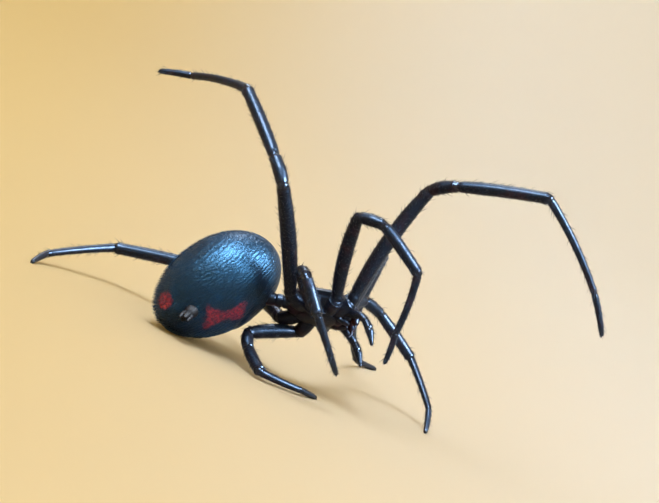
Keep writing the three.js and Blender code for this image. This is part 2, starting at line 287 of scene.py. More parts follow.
def store(piece, name, values):
    """Keeps one number or one vector for each point of a piece"""
    values = np.asarray(values, float)
    kind, field = ("FLOAT", "value") if values.ndim == 1 else ("FLOAT_VECTOR", "vector")
    attribute = piece.data.attributes.new(name, kind, "POINT")
    attribute.data.foreach_set(field, values.ravel())


def lie_along(piece, way):
    """Keeps one way for all the bristles of a piece to lean"""
    store(piece, "lie", np.tile(way, (len(piece.data.vertices), 1)))


print("mesh tools ready")

# %% [markdown]
# ## Finishes
# Her cuticle is chitin, hardened and waxed: nearly black, with a dark purple-brown tinge where
# it is thin. It is satin, and polished only at the joints. The abdomen is softer skin, closely
# haired, so it shines with a broad blue-black satin sheen. Colours are sRGB hex values, made
# linear by one function, and one function adds a node with its settings and links. Where
# nodes are built, add is that function for their own tree.


# %% Node and colour helpers
MATH, RANGE, MIX = "ShaderNodeMath", "ShaderNodeMapRange", "ShaderNodeMix"
NOISE, CELLS, BUMP = "ShaderNodeTexNoise", "ShaderNodeTexVoronoi", "ShaderNodeBump"
VECTOR, MAPPING = "ShaderNodeVectorMath", "ShaderNodeMapping"
SOFT = {"interpolation_type": "SMOOTHSTEP"}
COLOURS = {"data_type": "RGBA"}


def colour(hex_value):
    """An sRGB hex colour as the linear numbers that shaders read"""
    parts = [int(hex_value[i:i + 2], 16) / 255 for i in (1, 3, 5)]
    linear = [p / 12.92 if p <= 0.04045 else ((p + 0.055) / 1.055) ** 2.4 for p in parts]
    return (*linear, 1.0)


def grain(size_mm):
    """The scale of a texture whose grain is so many millimetres"""
    return 1 / (size_mm * MM)


def add_node(tree, kind, inputs=(), out=0, **settings):
    """One node with its settings and links. An input is a value or another node's socket.
    They come in a tuple from the first on, or in a dictionary by name or number. The output
    that out names comes back, and with None the node itself."""
    node = tree.nodes.new(kind)
    for key, value in settings.items():
        setattr(node, key, value)
    for key, value in enumerate(inputs) if isinstance(inputs, tuple) else inputs.items():
        if isinstance(value, bpy.types.NodeSocket):
            tree.links.new(value, node.inputs[key])
        else:
            node.inputs[key].default_value = value
    return node if out is None else node.outputs[out]


def new_material(name, **constants):
    """A material with one Principled shader, whose constants go on its own sockets"""
    material = bpy.data.materials.new(name)
    material.use_nodes = True
    tree = material.node_tree
    tree.nodes.clear()
    add = partial(add_node, tree)
    shader = add("ShaderNodeBsdfPrincipled", constants, None)
    add("ShaderNodeOutputMaterial", {"Surface": shader.outputs[0]}, None)
    place = add("ShaderNodeTexCoord", (), "Object")
    return material, add, shader, place


def plug_in(shader, **sockets):
    for name, socket in sockets.items():
        shader.id_data.links.new(socket, shader.inputs[name.replace("_", " ")])


def patches(add, place, size_mm, ends, detail=2.0, **settings):
    """Cloudy patches of so many millimetres, read from or between two ends"""
    clouds = add(NOISE, {"Vector": place, "Scale": grain(size_mm), "Detail": detail})
    return add(RANGE, {"Value": clouds, **ends}, **settings)


def pits(add, place, spacing_mm, edge):
    """Round pits so many millimetres apart, from 0 in the middle to 1 at their edge"""
    cells = add(CELLS, {"Vector": place, "Scale": grain(spacing_mm)})
    return add(RANGE, {"Value": cells, "From Max": edge}, **SOFT)


print("finish helpers ready")

# %% [markdown]
# ### Cuticle
# Hard black chitin with a purple tinge. It is satin on the lengths of the legs and polished
# at the joints, which catch the light as bright points. The joints are also a little paler
# and greyer: partly their paler membranes, and partly a painted highlight for the bluish
# glints there. The bumps are the sockets of the bristles, about a sixth of a millimetre apart,
# over a finer leathery grain. Chitin bends light much as glass does, but this cuticle is
# rough below its wax, so less than half of that mirror image comes back. The chelicerae and
# fangs are browner.

# %% Cuticle
CUTICLE_DARK = colour("#130d18")
CUTICLE_BROWN = colour("#2b121a")
CUTICLE_ROUGHNESS = {"To Min": 0.32, "To Max": 0.48}
# The grey at the joints is partly paler membrane and partly a painted highlight.
JOINT_GREY_AND_PAINTED_HIGHLIGHT = colour("#343644")
JOINT_GREY_AND_HIGHLIGHT_SHARE = 0.6
JOINT_ROUGHNESS = 0.16
SKY_TINT = colour("#9cc6f2")
TINGE_SIZE = 1.1
TINGE_EDGES = (0.62, 0.85)
WEAR_SIZE = 0.35
SOCKET_SPACING = 0.17
SOCKET_EDGE = 0.32
SOCKET_DEPTH = 0.012 * MM
LEATHER_GRAIN = 0.06
LEATHER_DEPTH = 0.006 * MM
CUTICLE_RELIEF = 0.5


def cuticle_material(name, dark, warm, warmth):
    material, add, shader, place = new_material(
        name, **{"IOR": 1.56, "Specular IOR Level": 0.2, "Specular Tint": SKY_TINT,
                 "Coat Weight": 0.05, "Coat Roughness": 0.08, "Coat IOR": 1.5})
    low, high = (edge - warmth for edge in TINGE_EDGES)
    tinge = patches(add, place, TINGE_SIZE, {"From Min": low, "From Max": high}, 4.0, **SOFT)
    base = add(MIX, {0: tinge, 6: dark, 7: warm}, 2, **COLOURS)
    joint = add("ShaderNodeAttribute", (), "Fac", attribute_name="joint")
    # Near each joint the colour turns grey-blue: partly paler membrane, partly a painted highlight.
    pale_and_highlight = add(MATH, (joint, JOINT_GREY_AND_HIGHLIGHT_SHARE), operation="MULTIPLY")
    base = add(MIX, {0: pale_and_highlight, 6: base, 7: JOINT_GREY_AND_PAINTED_HIGHLIGHT}, 2, **COLOURS)
    rough = patches(add, place, WEAR_SIZE, CUTICLE_ROUGHNESS)
    rough = add(RANGE, {"Value": joint, "To Min": rough, "To Max": JOINT_ROUGHNESS})
    sockets = pits(add, place, SOCKET_SPACING, SOCKET_EDGE)
    leather = add(NOISE, {"Vector": place, "Scale": grain(LEATHER_GRAIN)})
    normal = add(BUMP, {"Height": sockets, "Distance": SOCKET_DEPTH, "Strength": CUTICLE_RELIEF})
    normal = add(BUMP, {"Height": leather, "Distance": LEATHER_DEPTH, "Strength": CUTICLE_RELIEF,
                        "Normal": normal})
    plug_in(shader, Base_Color=base, Roughness=rough, Normal=normal)
    return material


cuticle = cuticle_material("chitin_black_waxed", CUTICLE_DARK, CUTICLE_BROWN, 0.12)
fang_chitin = cuticle_material("chitin_dark_brown_polished", colour("#120a0b"),
                               colour("#33130f"), 0.42)
print("materials:", cuticle.name, fang_chitin.name)

# %% [markdown]
# ### Abdomen skin
# The red hourglass lies under the abdomen, between its front furrow and the spinnerets, and
# one more red spot sits above them. The marks are drawn by where a point lies on the globe:
# the skin's own Object coordinates, turned back into the globe's axes and divided by its
# three radii. The hairs read the same marks, so a hair on the red is red.

# %% Globe coordinates and the red marks
GLOBE_RADII = (3.85, 2.7, 2.6)
MARKS_TURN = 47
HOURGLASS_TURN = 27
HOURGLASS_MIDDLE = (-0.10, 0.05)
HOURGLASS_REAR = {"length": 0.29, "width": 0.32}
HOURGLASS_FRONT = {"length": 0.33, "width": 0.25}
HOURGLASS_NARROW = 0.10
SPOT_MIDDLE = (-0.957, 0.14, -0.23)
SPOT_RADIUS = 0.18
MARK_RED = colour("#bd2a33")
MARK_DEEP_RED = colour("#661729")
MARK_EDGE = {"From Min": -0.03, "From Max": 0.07}
MARK_START = {"From Min": -0.05, "From Max": 0.0}
MARK_WOBBLE = 0.09
UNDERSIDE = {"From Min": -0.2, "From Max": -0.4}
WOBBLE_SIZE = 0.3
CLOUD_SIZE = 0.9
CLOUD_EDGES = {"From Min": 0.4, "From Max": 0.8}
SPECK_SIZE = 0.16
SPECK_EDGES = {"From Min": 0.38, "From Max": 0.68}
SPOT_EDGE = {"From Min": SPOT_RADIUS + 0.03, "From Max": SPOT_RADIUS - 0.05}


def globe_place(add, place, turn):
    """Object coordinates as a point of the unit globe, turned by so many degrees about Z"""
    unturned = add(MAPPING, {
        "Vector": place, "Location": tuple(v * MM for v in GLOBE.to_translation()),
        "Rotation": tuple(GLOBE.to_euler("XYZ")),
        "Scale": tuple(r * MM for r in GLOBE_RADII)}, vector_type="TEXTURE")
    return add(MAPPING, {"Vector": unturned, "Rotation": (0, 0, math.radians(-turn))},
               vector_type="POINT")


def triangle(add, reach, across, wobble, length, width):
    """One half of the hourglass, from its narrow middle to its broad end"""
    slope = (width - HOURGLASS_NARROW) / length
    half = add(MATH, (reach, slope, HOURGLASS_NARROW), operation="MULTIPLY_ADD")
    red = add(RANGE, {"Value": reach, **MARK_START}, **SOFT)
    for limit, value in ((half, across), (length, reach)):
        edge = add(MATH, (limit, value), operation="SUBTRACT")
        edge = add(MATH, (edge, wobble), operation="ADD")
        share = add(RANGE, {"Value": edge, **MARK_EDGE}, **SOFT)
        red = add(MATH, (red, share), operation="MULTIPLY")
    return red


def red_marks(add, place):
    """How red a place is, from 0 to 1"""
    wobble = patches(add, place, WOBBLE_SIZE, {"To Min": -MARK_WOBBLE, "To Max": MARK_WOBBLE}, 4.0)
    axes = add("ShaderNodeSeparateXYZ", (globe_place(add, place, HOURGLASS_TURN),), None).outputs
    along, aside = (add(MATH, (axis, middle), operation="SUBTRACT")
                    for axis, middle in zip(axes, HOURGLASS_MIDDLE))
    behind = add(MATH, (along, -1.0), operation="MULTIPLY")
    across = add(MATH, (aside,), operation="ABSOLUTE")
    rear = triangle(add, behind, across, wobble, **HOURGLASS_REAR)
    front = triangle(add, along, across, wobble, **HOURGLASS_FRONT)
    glass = add(MATH, (rear, front), operation="MAXIMUM")
    below = add(RANGE, {"Value": axes[2], **UNDERSIDE}, **SOFT)
    glass = add(MATH, (glass, below), operation="MULTIPLY")
    gap = add(VECTOR, (globe_place(add, place, MARKS_TURN), SPOT_MIDDLE), "Value",
              operation="DISTANCE")
    edge = add(MATH, (gap, wobble), operation="ADD")
    spot = add(RANGE, {"Value": edge, **SPOT_EDGE}, **SOFT)
    return add(MATH, (glass, spot), operation="MAXIMUM")


def marked_colour(add, place, dark, light):
    """The abdomen's colour: black with blue-grey clouds, and the red marks"""
    clouds = patches(add, place, CLOUD_SIZE, CLOUD_EDGES, **SOFT)
    ground = add(MIX, {0: clouds, 6: dark, 7: light}, 2, **COLOURS)
    specks = patches(add, place, SPECK_SIZE, SPECK_EDGES, 3.0, **SOFT)
    red = add(MIX, {0: specks, 6: MARK_DEEP_RED, 7: MARK_RED}, 2, **COLOURS)
    return add(MIX, {0: red_marks(add, place), 6: ground, 7: red}, 2, **COLOURS)


print("red marks at", HOURGLASS_MIDDLE, SPOT_MIDDLE)

# %% [markdown]
# The satin of the abdomen has rows of fine oblique creases, about a fifth of a millimetre
# apart, in which the hairs stand. A wave along one direction, with some distortion, gives
# the rows, and a cell pattern gives the hair sockets.

# %% Abdomen skin and spinneret skin
SATIN_TINT = colour("#6fbbee")
CREASE_SPACING = 0.19
WAVE_SCALE = 0.314  # the scale at which a wave texture has one band for each unit of length
CREASE_WAY = Vector((0.85, 0.12, -0.5)).normalized()
CREASE_DEPTH = 0.02 * MM
HAIR_SOCKETS = 0.13
HAIR_SOCKET_EDGE = 0.4
HAIR_SOCKET_DEPTH = 0.014 * MM
SATIN_RELIEF = 0.7
SATIN_ROUGHNESS = {"To Min": 0.34, "To Max": 0.48}
SATIN_WEAR_SIZE = 0.5
HAIR_ROUGHNESS = {"To Min": 0.32, "To Max": 0.5}
HAIR_WEAR_SIZE = 0.3
CLOUDED_EDGES = {"From Min": 0.35, "From Max": 0.7}
FINE_SHARE = 5  # how many fine grains are as wide as one cloud
FINE_DEPTH = 0.03  # as a share of a cloud
FINE_RELIEF = 0.8


def abdomen_material():
    material, add, shader, place = new_material(
        "abdomen_skin_satin", **{"IOR": 1.55, "Specular IOR Level": 0.68,
                                 "Specular Tint": SATIN_TINT, "Sheen Weight": 0.05,
                                 "Sheen Roughness": 0.45, "Sheen Tint": SATIN_TINT})
    base = marked_colour(add, place, colour("#120b22"), colour("#0d2448"))
    turn = CREASE_WAY.rotation_difference(Vector((1, 0, 0))).to_euler()
    lined = add(MAPPING, {"Vector": place, "Rotation": tuple(turn)}, vector_type="POINT")
    wave = add("ShaderNodeTexWave",
               {"Vector": lined, "Scale": WAVE_SCALE * grain(CREASE_SPACING),
                "Distortion": 5.0, "Detail": 3.0, "Detail Scale": 2.0}, "Fac",
               bands_direction="X")
    normal = add(BUMP, {"Height": wave, "Distance": CREASE_DEPTH, "Strength": SATIN_RELIEF})
    sockets = pits(add, place, HAIR_SOCKETS, HAIR_SOCKET_EDGE)
    normal = add(BUMP, {"Height": sockets, "Distance": HAIR_SOCKET_DEPTH, "Strength": SATIN_RELIEF,
                        "Normal": normal})
    rough = patches(add, place, SATIN_WEAR_SIZE, SATIN_ROUGHNESS)
    plug_in(shader, Base_Color=base, Roughness=rough, Normal=normal)
    return material


def clouded_material(name, grain_mm, dark, light, roughness, **constants):
    """A finish of two clouded colours, rougher and smoother in patches, over a fine grain"""
    material, add, shader, place = new_material(name, **constants)
    clouds = patches(add, place, grain_mm, CLOUDED_EDGES, **SOFT)
    base = add(MIX, {0: clouds, 6: dark, 7: light}, 2, **COLOURS)
    rough = patches(add, place, grain_mm, {"To Min": roughness[0], "To Max": roughness[1]})
    fine = add(NOISE, {"Vector": place, "Scale": FINE_SHARE * grain(grain_mm)})
    normal = add(BUMP, {"Height": fine, "Distance": FINE_DEPTH * grain_mm * MM,
                        "Strength": FINE_RELIEF})
    plug_in(shader, Base_Color=base, Roughness=rough, Normal=normal)
    return material


abdomen_skin = abdomen_material()
spinneret_skin = clouded_material("spinneret_skin_dull", 0.25, colour("#0e0d14"),
                                  colour("#2a2226"), (0.45, 0.65),
                                  **{"IOR": 1.45, "Specular IOR Level": 0.15})
print("materials:", abdomen_skin.name, spinneret_skin.name)

# %% [markdown]
# ### Eyes and bristles
# An eye is a polished lens over black pigment, so it is nearly black with one sharp glint.
# A bristle is a thin spine of clear brown-black chitin. On the abdomen the bristles are finer
# and catch the light with a blue-grey sheen, and over the red marks they are red.

# %% Eye and bristle finishes
eye_lens = clouded_material("eye_lens_polished", 0.08, colour("#050406"), colour("#1a1215"),
                            (0.1, 0.18), **{"IOR": 1.6, "Specular IOR Level": 0.2,
                                           "Coat Weight": 0.2, "Coat Roughness": 0.03})
bristle = clouded_material("bristle_chitin_black", 0.4, colour("#0c090d"), colour("#26202a"),
                           (0.32, 0.5), **{"IOR": 1.55, "Specular IOR Level": 0.3,
                                           "Specular Tint": SKY_TINT})


def hair_material():
    material, add, shader, place = new_material(
        "abdomen_hair_fine", **{"IOR": 1.55, "Specular IOR Level": 0.35,
                                "Specular Tint": SATIN_TINT})
    base = marked_colour(add, place, colour("#081028"), colour("#14385c"))
    rough = patches(add, place, HAIR_WEAR_SIZE, HAIR_ROUGHNESS)
    plug_in(shader, Base_Color=base, Roughness=rough)
    return material


hair = hair_material()
print("materials:", eye_lens.name, bristle.name, hair.name)


# %% Dressing a piece
def dress(piece, material, nodes):
    """Gives a finished piece its material, its body and the solids it stands for"""
    if material is not None:
        piece.data.materials.clear()
        piece.data.materials.append(material)
    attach(piece, "root")
    if nodes:
        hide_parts(*nodes)
    print(piece.name, len(piece.data.polygons), "faces")
    return piece


# %% [markdown]
# ## The abdomen
# A smooth egg, a little broader in front, with shallow dimples on its back where muscles pull
# from inside, a cross furrow underneath in front, with a smooth book-lung plate on either side
# of it, and a small knob above the spinnerets. All of it follows rules on the unit globe, so
# the egg is a ball whose points are moved.

# %% Abdomen shape
ABDOMEN_BROAD = 0.05
ABDOMEN_FLATTER_BELOW = 0.97
HAIR_DEPTH = 0.05
BELLY_LINE = 0.13
MUSCLE_DIMPLES = ((0.45, 0.16), (0.10, 0.24), (-0.25, 0.20), (-0.52, 0.14))
DIMPLE_DEPTH = 0.045
FURROW_DEPTH = 0.07
LUNG_RISE = 0.035
KNOB_RISE = 0.10
UNEVENNESS = 0.008
MARKS_LINE = (math.cos(math.radians(MARKS_TURN)), math.sin(math.radians(MARKS_TURN)), 0)


def egg_point(x, y, z, inset=0.0):
    """A point of the unit globe, on the abdomen's surface"""
    broad = 1 + ABDOMEN_BROAD * x
    under = np.where(z < 0, ABDOMEN_FLATTER_BELOW, 1.0)
    return (x * (GLOBE_RADII[0] - inset), y * (GLOBE_RADII[1] * broad - inset),
            z * (GLOBE_RADII[2] * broad * under - inset))


def bell(distance, width):
    return np.exp(-(distance / width) ** 2)


def abdomen_rule(x, y, z):
    fore = x * MARKS_LINE[0] + y * MARKS_LINE[1]
    left = y * MARKS_LINE[0] - x * MARKS_LINE[1]
    relief = np.zeros_like(x)
    for ahead, side in MUSCLE_DIMPLES:
        for sign in (1, -1):
            gap = np.sqrt((fore - ahead) ** 2 + (left - sign * side) ** 2)
            relief -= DIMPLE_DEPTH * bell(gap, 0.07) * (z > 0)
    left = left - BELLY_LINE
    furrow = bell(fore - 0.38 - 0.25 * left ** 2, 0.035) * bell(left, 0.5) * (z < 0)
    relief -= FURROW_DEPTH * furrow
    for sign in (1, -1):
        lung = np.sqrt(((fore - 0.52) / 0.8) ** 2 + (left - sign * 0.30) ** 2)
        relief += LUNG_RISE / (1 + np.exp((lung - 0.16) / 0.02)) * (z < 0)
    knob = np.sqrt((fore + 0.80) ** 2 + left ** 2 + (z + 0.58) ** 2)
    relief += KNOB_RISE * bell(knob, 0.11)
    slow = np.sin(5 * fore + 1.3) * np.sin(7 * left + 0.4) + np.sin(9 * z + 2.1 * fore)
    relief += UNEVENNESS * slow
    points = egg_point(x, y, z, inset=HAIR_DEPTH)
    return tuple(p + n * relief for p, n in zip(points, (x, y, z)))


abdomen = single("abdomen_globe", moved(ball(abdomen_rule, sides=180, rings=110), GLOBE))
keep_above_floor(abdomen)
lie_along(abdomen, GLOBE.to_3x3() @ -Vector(MARKS_LINE))
dress(abdomen, abdomen_skin, ["abdomen"])

# %% [markdown]
# ## The spinnerets
# These are a close rosette of small cones under the rear of the abdomen: a large pair in
# front, a large pair behind, and a short pair between. Each cone is two rings and a blunt tip.
# They are fused to a low mound, as the real ones grow from one.

# %% Spinnerets
SPINNERET_BACK = 33
SPINNERET_SIDE = -24
SPINNERET_LENGTH = 0.55
SPINNERET_RADIUS = 0.17
SPINNERET_SPREAD = 0.17
SPINNERET_CONE = ((0, 1.0), (0.42, 0.98), (0.47, 0.84), (0.52, 0.92), (0.85, 0.7), (1, 0.5))
SHORT_CONE = ((0, 0.07), (0.7, 0.06), (1, 0.04))
SPINNERET_MOUND = ((0, 0.42), (0.45, 0.40), (0.8, 0.30), (1, 0.22))


def under_globe(back, left):
    """A point of the abdomen, so many degrees back and to the left of its lowest"""
    back, left = math.radians(back), math.radians(left)
    flat = math.cos(left)
    place = np.array([-flat * math.sin(back), math.sin(left), -flat * math.cos(back)])
    return np.array(egg_point(*place))


SPINNERET_ROOT = under_globe(SPINNERET_BACK, SPINNERET_SIDE)


def spinneret_shells():
    root = SPINNERET_ROOT
    out = unit(root)
    side = np.array([0.0, 1.0, 0.0])
    back = unit(np.cross(side, out))
    shells = [tube(root - out * 0.35, root + out * 0.22, SPINNERET_MOUND, side, sides=32)]
    start = root + out * 0.25
    for degrees in (45, 135, 225, 315):
        turn = math.radians(degrees)
        lean = back * math.cos(turn) + side * math.sin(turn)
        foot = start + lean * SPINNERET_SPREAD
        tip = foot + out * SPINNERET_LENGTH * 0.8 + lean * 0.05
        shells.append(tube(foot, tip, SPINNERET_CONE, lean, scale=SPINNERET_RADIUS,
                           sides=20, steps=10, cap=0.7))
    for sign in (1, -1):
        foot = start + side * 0.06 * sign
        tip = foot + out * SPINNERET_LENGTH * 0.5
        shells.append(tube(foot, tip, SHORT_CONE, side, sides=14, steps=6))
    return [moved(shell, GLOBE) for shell in shells]


spinnerets = fused("spinneret_rosette", spinneret_shells())
keep_above_floor(spinnerets)
lie_along(spinnerets, GLOBE.to_3x3() @ Vector(unit(SPINNERET_ROOT)))
dress(spinnerets, spinneret_skin, ["spinnerets"])

# %% [markdown]
# ## The front body
# From above, the carapace is a pear-shaped shield with the head raised at its narrow front. A
# pit lies behind its middle, with shallow grooves that run from it to the legs, and a V-shaped
# groove marks off the head. Each eye sits in a low mound of its own. Below the shield the
# breastplate is a heart-shaped plate between the bases of the legs. The short first joint of
# each leg, the coxa, is fused into this piece.

# %% Carapace and breastplate
CARAPACE_LENGTH = 3.9
CARAPACE_WIDTH = 3.1
CARAPACE_HEIGHT = 0.95
BREASTPLATE_DEPTH = 0.95
HEAD_WIDTH = 1.5
PIT_SHARE = -0.22
PIT_DEPTH = 0.10
HOLLOW_DEPTH = 0.16
GROOVES = {0.95: 0.065, 0.28: 0.04, -0.35: 0.04, -0.9: 0.04}  # the depth for each slant
RIM_WIDTH = 0.05
PINCH_WIDTH = 0.06


def smooth(value, low, high):
    t = np.clip((value - low) / (high - low), 0, 1)
    return t * t * (3 - 2 * t)


def carapace_rule(x, y, z):
    ring = np.sqrt(np.maximum(1e-9, 1 - x * x))
    blunt = np.sign(x) * np.abs(x) ** 0.85
    across, up = y / ring, z / ring
    head = smooth(x, -0.1, 0.55)
    hollow = HOLLOW_DEPTH * np.exp(-((x - PIT_SHARE) / 0.2) ** 2 - (across / 0.35) ** 2)
    pit = PIT_DEPTH * np.exp(-((x - PIT_SHARE) / 0.045) ** 2 - (across / 0.22) ** 2)
    grooves = np.zeros_like(x)
    for slant, depth in GROOVES.items():
        line = np.abs(x - PIT_SHARE - slant * np.abs(across) * 0.55)
        grooves += depth * bell(line, 0.035) * smooth(np.abs(across), 0.08, 0.3)
    grooves *= 1 - smooth(np.abs(across), 0.75, 0.95)
    lump = np.power(ring, 0.75)
    top = CARAPACE_HEIGHT * (0.72 + 0.28 * head) * lump - hollow - pit - grooves
    rim = RIM_WIDTH * bell(up - 0.10, 0.07)
    pinch = PINCH_WIDTH * bell(up + 0.12, 0.07)
    height = np.where(up > 0, top, BREASTPLATE_DEPTH * lump)
    rear = np.sqrt(np.maximum(0, 1 - x * x))
    neck = smooth(x, 0.05, 0.75)
    half = rear * (CARAPACE_WIDTH / 2 * (1 - neck) + HEAD_WIDTH * 0.75 * neck)
    side = half * np.where(up < 0, 1 + 0.28 * up, 1)
    side = np.maximum(side + (rim - pinch) * np.minimum(1, half * 4), 0)
    return CARAPACE_LENGTH / 2 * blunt, side * across, np.maximum(height, 0) * up


def breastplate_rule(x, y, z):
    """A heart-shaped plate, broad in front and pointed behind, with a rounded edge"""
    width = 0.78 * (1 + 0.35 * x) * (1 - 0.25 * smooth(x, 0.6, 1.0))
    lobes = 1 - 0.07 * np.cos(9 * x) * np.abs(y)
    return 1.15 * x - 0.15, y * width * lobes, z * 0.16 - 0.88


def lip_rule(x, y, z):
    return 0.28 * x + 1.12, 0.32 * y, 0.16 * z - 0.80


COXA_RADIUS = 0.42
COXA_PROFILE = ((0, 0.9), (0.2, 0.98), (0.6, 1.0), (0.9, 0.93), (0.96, 0.97), (1, 0.84))
PALP_LOBE = ((0, 0.15), (0.5, 0.19), (1, 0.15))
COXA_STARTS = ((0.8, 0.45, -0.5), (0.35, 0.55, -0.55), (-0.3, 0.55, -0.6), (-0.85, 0.45, -0.45))
COXA_ENDS = ((1.5, 1.2, -0.1), (0.6, 1.55, -0.35), (-0.75, 1.6, -1.0), (-1.95, 1.35, -0.5))
EYE_MOUND = 0.15
EYE_SINK = 0.11
HEAD_MIDDLE = np.array([0.9, 0.0, 0.1])


def on_side(point, side):
    return np.array([point[0], point[1] * side, point[2]], float)


def eye_mound(eye, side):
    """The low mound that holds an eye to its middle"""
    middle = on_side(eye, side)
    inward = unit(HEAD_MIDDLE - middle)
    return moved(sphere(EYE_MOUND, 28, 16), Matrix.Translation(middle + EYE_SINK * inward))


def front_shells():
    shells = [ball(carapace_rule, sides=120, rings=84), ball(breastplate_rule, 48, 28),
              ball(lip_rule, 28, 16)]
    for side in (1, -1):
        for start, end in zip(COXA_STARTS, COXA_ENDS):
            shells.append(tube(on_side(start, side), on_side(end, side), COXA_PROFILE,
                               (0, 0, -1), bow=0.05, scale=COXA_RADIUS, sides=28, steps=10,
                               cap=0.55))
        shells.append(tube((1.05, 0.50 * side, -0.82), (1.60, 0.22 * side, -0.88), PALP_LOBE,
                           (0, 0, -1), sides=20, steps=8))
        shells += [eye_mound(eye, side) for eye in EYES.values()]
    return [moved(shell, FRONT) for shell in shells]


front_body = fused("front_body", front_shells())
lie_along(front_body, FRONT.to_3x3() @ Vector((1, 0, 0)))
dress(front_body, cuticle, ["prosoma"])

# %% [markdown]
# ## The waist
# A narrow stalk joins the two body parts. It is a short tube with a raised ring, and it runs
# into both of them, so that no gap shows.

# %% Waist
WAIST_RADIUS = 0.38
WAIST_PROFILE = ((0, 1.0), (0.30, 0.96), (0.36, 0.86), (0.42, 1.0), (0.62, 0.98),
                 (0.68, 0.84), (0.75, 0.94), (1, 1.05))


def waist_shell():
    start = np.array(FRONT @ Vector((-CARAPACE_LENGTH / 2 + 0.35, 0, -0.2)))
    low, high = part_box("waist")
    middle = np.array((low + high) / 2) / MM
    end = middle + (middle - start) * 0.85
    return tube(start, end, WAIST_PROFILE, scale=WAIST_RADIUS, sides=32, steps=20)


dress(single("waist_stalk", waist_shell()), cuticle, ["waist"])

# %% [markdown]
# ## The legs
# Each leg has a thigh (femur), a knee piece (patella), a shin (tibia), a long foot piece
# (metatarsus) and a slim toe (tarsus) with three tiny claws. Her pose is a heading and a rise
# for each of them. Every length swells a little before its joint and narrows to a neck at it,
# and this is what makes a leg look jointed and not like bent wire.

# %% Leg sizes and pose
LEG_LENGTHS = ((7.6, 1.7, 5.2, 5.9, 2.4), (5.3, 1.6, 3.2, 3.7, 1.7),
               (3.0, 1.2, 2.2, 2.6, 1.35), (7.0, 1.8, 4.8, 4.8, 1.9))
LEG_THICKNESS = (1.0, 0.94, 0.96, 1.04)
SEGMENT_PROFILES = (
    ((0, .29), (.03, .34), (.055, .345), (.068, .295), (.09, .33), (.25, .39), (.5, .42),
     (.8, .395), (.92, .35), (.965, .37), (1, .31)),
    ((0, .27), (.10, .33), (.5, .365), (.82, .33), (.93, .345), (1, .27)),
    ((0, .25), (.05, .315), (.3, .345), (.7, .335), (.90, .32), (.965, .345), (1, .26)),
    ((0, .20), (.04, .25), (.2, .225), (.7, .20), (.93, .19), (.97, .205), (1, .16)),
    ((0, .15), (.06, .19), (.4, .18), (.85, .155), (1, .125)),
)
SEGMENT_BOW = (0.035, 0.04, 0.015, 0.03, 0.02)
SEGMENT_STEPS = (22, 12, 22, 22, 12)
LEG_POSES = {
    "right_1": ((-19, 79), (-39, 31), (-25, 17), (3, -40), (9, -54)),
    "right_2": ((-122, 67), (-33, 8), (-13, -31), (65, -75), (31, -85)),
    "right_3": ((-132, 36), (-81, -3), (-31, -47), (20, -46), (42, -39)),
    "right_4": ((-142, 54), (132, 41), (127, 32), (123, -10), (154, -16)),
    "left_1": ((75, 26), (74, 6), (82, -54), (65, -31), (47, None)),
    "left_2": ((62, 19), (30, -16), (1, -32), (-59, -32), (-87, None)),
    "left_3": ((-165, -20), (-77, -34), (-68, -17), (8, -3), (39, None)),
    "left_4": ((117, 7), (169, -26), (157, -13), (-145, -18), (-113, None)),
}
FOOT_CENTRE_HEIGHT = 0.11


def heading_way(heading, rise):
    heading, rise = math.radians(heading), math.radians(rise)
    flat = math.cos(rise)
    return np.array([flat * math.cos(heading), flat * math.sin(heading), math.sin(rise)])


def leg_joints(name):
    """The joints of a leg from the hip to the toe's tip. A standing toe reaches the floor."""
    side, number = name.split("_")
    pair = int(number) - 1
    hip = FRONT @ Vector(on_side(COXA_ENDS[pair], 1 if side == "left" else -1))
    joints = [np.array(hip)]
    for (heading, rise), length in zip(LEG_POSES[name], LEG_LENGTHS[pair]):
        if rise is None:
            rise = math.degrees(math.asin((FOOT_CENTRE_HEIGHT - joints[-1][2]) / length))
        joints.append(joints[-1] + heading_way(heading, rise) * length)
    return joints, pair


print("legs in mm:", {n: round(sum(LEG_LENGTHS[leg_joints(n)[1]]), 1) for n in LEG_POSES})

# %% [markdown]
# The claws are too small to see from a step away, but a toe that just ends looks cut off. Each
# is a tiny hook of three short tubes that bends down.


# %% Leg skins
CLAW_TURNS = np.radians([10, 40, 75])
CLAW_RADIUS = 0.034
CLAW_STEP = 0.05


def hook(place, moves, radius, end, taper, outward, sides, steps):
    """Short tubes end to end, each thinner than the last"""
    shells = []
    for move in moves:
        profile = [(0, radius), (1, radius * end)]
        shells.append(tube(place, place + move, profile, outward, sides=sides, steps=steps))
        place, radius = place + move, radius * taper
    return shells


def claw_shells(tip, ahead, size):
    """Two upper claws and one small lower one, curved down"""
    down = unit(np.array([0, 0, -1.0]) + 0.01 * ahead)
    side = unit(np.cross(ahead, down))
    down = np.cross(side, ahead)
    down = down if down[2] < 0 else -down
    shells = []
    for sideways, scale in ((0.35, 1.0), (-0.35, 1.0), (0.0, 0.6)):
        ways = [ahead * math.cos(turn) + down * math.sin(turn) for turn in CLAW_TURNS]
        moves = [(way + side * sideways * 0.3) * CLAW_STEP * size * scale for way in ways]
        shells += hook(tip + side * sideways * 0.12, moves, CLAW_RADIUS * size, 0.75, 0.7,
                       down, sides=8, steps=3)
    return shells


def leg_skin(name):
    joints, pair = leg_joints(name)
    size = LEG_THICKNESS[pair]
    middle = sum(joints) / len(joints)
    shells = []
    for i, profile in enumerate(SEGMENT_PROFILES):
        outward = (joints[i] + joints[i + 1]) / 2 - middle
        shells.append(tube(joints[i], joints[i + 1], profile, outward, SEGMENT_BOW[i], size,
                           sides=24, steps=SEGMENT_STEPS[i], cap=0.9))
    ahead = unit(joints[-1] - joints[-2])
    shells += claw_shells(joints[-1] + ahead * 0.04, ahead, size)
    piece = fused(f"leg_{name}", shells)
    keep_above_floor(piece)
    mark_leg(piece, joints)
    return piece


